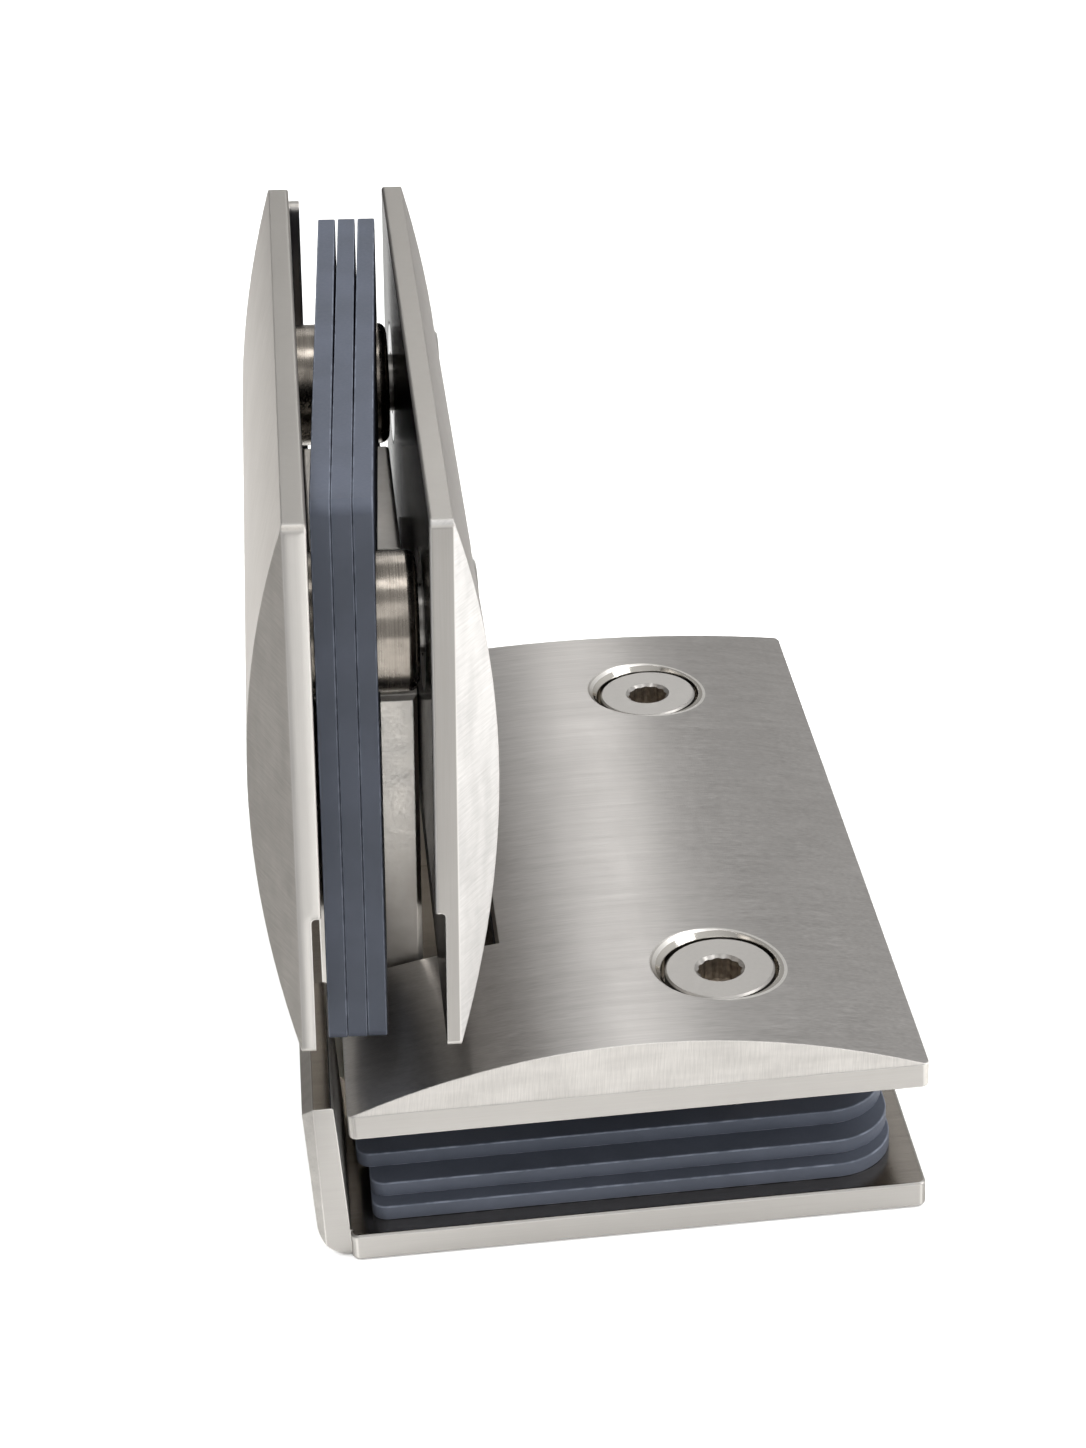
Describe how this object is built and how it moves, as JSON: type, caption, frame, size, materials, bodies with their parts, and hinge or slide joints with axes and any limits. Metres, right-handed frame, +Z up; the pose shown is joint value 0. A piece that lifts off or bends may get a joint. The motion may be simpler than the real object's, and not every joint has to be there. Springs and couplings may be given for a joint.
{
  "type": "glass door hinge",
  "caption": "Corner hinge for glass doors: a flat fixed clamp and a pivoting door clamp, both domed satin plates with screws, bosses and rubber pads.",
  "frame": {"origin": "on the flat outer face of the fixed clamp, under the middle of the pivot pin", "axes": "+X from the pin along the fixed glass, +Y along the pin, +Z from the fixed clamp's outer face towards its domed inner plate; the door clamp stands up along +Z, leaning 2.9 degrees towards +X"},
  "size_m": [0.0603, 0.09, 0.0759],
  "materials": {
    "satin_plate": "satin brushed nickel, fine straight grain",
    "turned_boss": "turned and satin plated",
    "cast_block": "cast and tumbled, satin plated",
    "bright_screw": "machined, semi-bright",
    "pad_rubber": "matt slate sheet rubber",
    "nylon": "natural nylon",
    "spring_steel": "blued spring steel"
  },
  "bodies": {
    "fixed_clamp": {"fixed_outer_plate": "satin_plate", "fixed_inner_plate": "satin_plate", "fixed_boss_front": "turned_boss", "fixed_boss_rear": "turned_boss", "fixed_screw_front": "bright_screw", "fixed_screw_rear": "bright_screw", "fixed_pad_1": "pad_rubber", "fixed_pad_2": "pad_rubber", "fixed_pad_3": "pad_rubber", "pivot_pin": "bright_screw", "pin_bearer_front": "cast_block", "pin_bearer_rear": "cast_block", "bearer_screw_front": "bright_screw", "bearer_screw_rear": "bright_screw", "grub_screw_front": "spring_steel", "grub_screw_rear": "spring_steel", "thrust_washer_front": "nylon", "thrust_washer_rear": "nylon"},
    "door_clamp": {"door_outer_plate": "satin_plate", "door_inner_plate": "satin_plate", "door_boss_front": "turned_boss", "door_boss_rear": "turned_boss", "door_screw_front": "bright_screw", "door_screw_rear": "bright_screw", "door_pad_1": "pad_rubber", "door_pad_2": "pad_rubber", "door_pad_3": "pad_rubber", "pivot_block": "cast_block", "block_screw_1": "bright_screw", "block_screw_2": "bright_screw", "block_screw_3": "bright_screw", "block_screw_4": "bright_screw", "bush_front": "nylon", "bush_rear": "nylon", "detent_spring": "spring_steel", "spring_cover": "spring_steel"}
  },
  "joints": [
    {"name": "door_swing", "type": "hinge", "parent": "fixed_clamp", "child": "door_clamp", "pos_m": [0, 0, 0.0082], "axis": [0, -1, 0], "range_deg": [-10, 92], "deforming": ["detent_spring"]}
  ]
}
